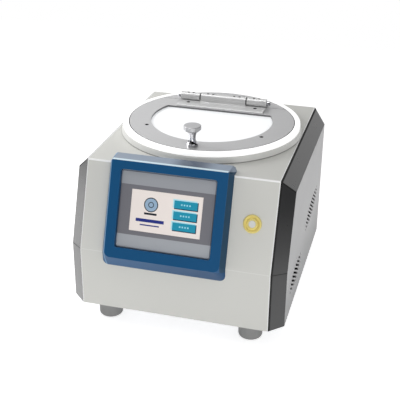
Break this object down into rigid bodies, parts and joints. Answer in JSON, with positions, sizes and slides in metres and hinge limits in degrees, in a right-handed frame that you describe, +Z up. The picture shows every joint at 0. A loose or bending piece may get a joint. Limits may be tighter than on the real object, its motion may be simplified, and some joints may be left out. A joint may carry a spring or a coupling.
{
  "type": "spin coater",
  "caption": "Bench-top spin coater: bevelled housing with a sloping front, touch screen, push button, and a round hinged windowed lid over a bowl with a vacuum chuck.",
  "frame": {"origin": "on the floor, under the middle of the machine's box", "axes": "+Z up, front and screen facing -Y, +X to the right of someone facing the screen"},
  "size_m": [0.294, 0.3512, 0.2686],
  "materials": {
    "cover_paint": "satin, light grey",
    "frame_paint": "satin, dark grey",
    "base_sheet": "zinc-plated",
    "foot_rubber": "matte, grey",
    "white_plastic": "white",
    "blue_plastic": "satin, blue",
    "bezel_plastic": "grey",
    "display_face": "lit screen",
    "gold_metal": "satin",
    "lens_plastic": "pale",
    "lid_metal": "fine satin",
    "bright_metal": "polished",
    "hinge_steel": "polished",
    "black_screw": "black oxide",
    "steel_screw": "zinc-plated",
    "clear_pane": "clear",
    "black_rubber": "matte",
    "motor_paint": "dark",
    "copper": "windings",
    "shaft_steel": "ground",
    "tube_plastic": "pale blue",
    "board": "circuit board",
    "black_plastic": "black",
    "alu_plate": "machined"
  },
  "bodies": {
    "housing": {"base_plate": "base_sheet", "front_cover": "cover_paint", "side_frame_left": "frame_paint", "side_frame_right": "frame_paint", "side_panel_left": "cover_paint", "side_panel_right": "cover_paint", "back_panel": "cover_paint", "back_screws": "steel_screw", "feet": "foot_rubber", "foot_screws": "steel_screw", "collar": "cover_paint", "bowl_rim": "white_plastic", "bowl_wall": "white_plastic", "bowl_floor": "white_plastic", "bowl_hub": "white_plastic", "lid_seal": "black_rubber", "drain_pipe": "white_plastic", "screen_frame": "blue_plastic", "hmi_bezel": "bezel_plastic", "hmi_display": "display_face", "hmi_case": "black_plastic", "button_bezel": "gold_metal", "button_nut": "gold_metal", "rear_plate": "lid_metal", "hinge_base": "hinge_steel", "rear_screws": "black_screw", "hinge_set_screws": "black_screw", "hinge_pin": "bright_metal", "motor_case": "motor_paint", "motor_stator": "copper", "bearings": "shaft_steel", "motor_plate": "alu_plate", "motor_pillars": "alu_plate", "rotary_union": "gold_metal", "vacuum_tube": "tube_plastic", "vacuum_valve": "black_plastic", "vacuum_spigot": "gold_metal", "power_supply": "alu_plate", "control_board": "board", "fan_case": "black_plastic", "power_inlet": "black_plastic", "switch_frame": "black_plastic"},
    "lid": {"lid_plate": "lid_metal", "window_pane": "clear_pane", "lid_screws": "black_screw", "hinge_leaf": "hinge_steel", "leaf_screws": "black_screw", "knuckle_set_screws": "black_screw", "knob_stem": "bright_metal", "knob_head": "hinge_steel"},
    "spindle": {"chuck": "white_plastic", "chuck_seal": "black_rubber", "drip_cap": "alu_plate", "spindle_shaft": "shaft_steel", "motor_rotor": "shaft_steel"},
    "button": {"button_cap": "gold_metal", "button_lens": "lens_plastic"},
    "fan": {"fan_rotor": "black_plastic"},
    "rocker": {"switch_rocker": "black_plastic"}
  },
  "joints": [
    {"name": "lid_hinge", "type": "hinge", "parent": "housing", "child": "lid", "pos_m": [0, 0.09773, 0.24706], "axis": [-1, 0, 0], "range_deg": [0, 100]},
    {"name": "spindle_spin", "type": "hinge", "parent": "housing", "child": "spindle", "pos_m": [0, 0.02823, 0.20246], "axis": [0, 0, 1], "continuous": true},
    {"name": "button_press", "type": "slide", "parent": "housing", "child": "button", "axis": [0, 0.9397, -0.342], "range_m": [0, 0.002], "stiffness_N_per_m": 600, "springref_m": -0.0015},
    {"name": "fan_spin", "type": "hinge", "parent": "housing", "child": "fan", "pos_m": [0.072, 0.15159, 0.1089], "axis": [0, 1, 0], "continuous": true},
    {"name": "rocker_tilt", "type": "hinge", "parent": "housing", "child": "rocker", "pos_m": [-0.052, 0.15759, 0.0689], "axis": [1, 0, 0], "range_deg": [0, 18]}
  ]
}
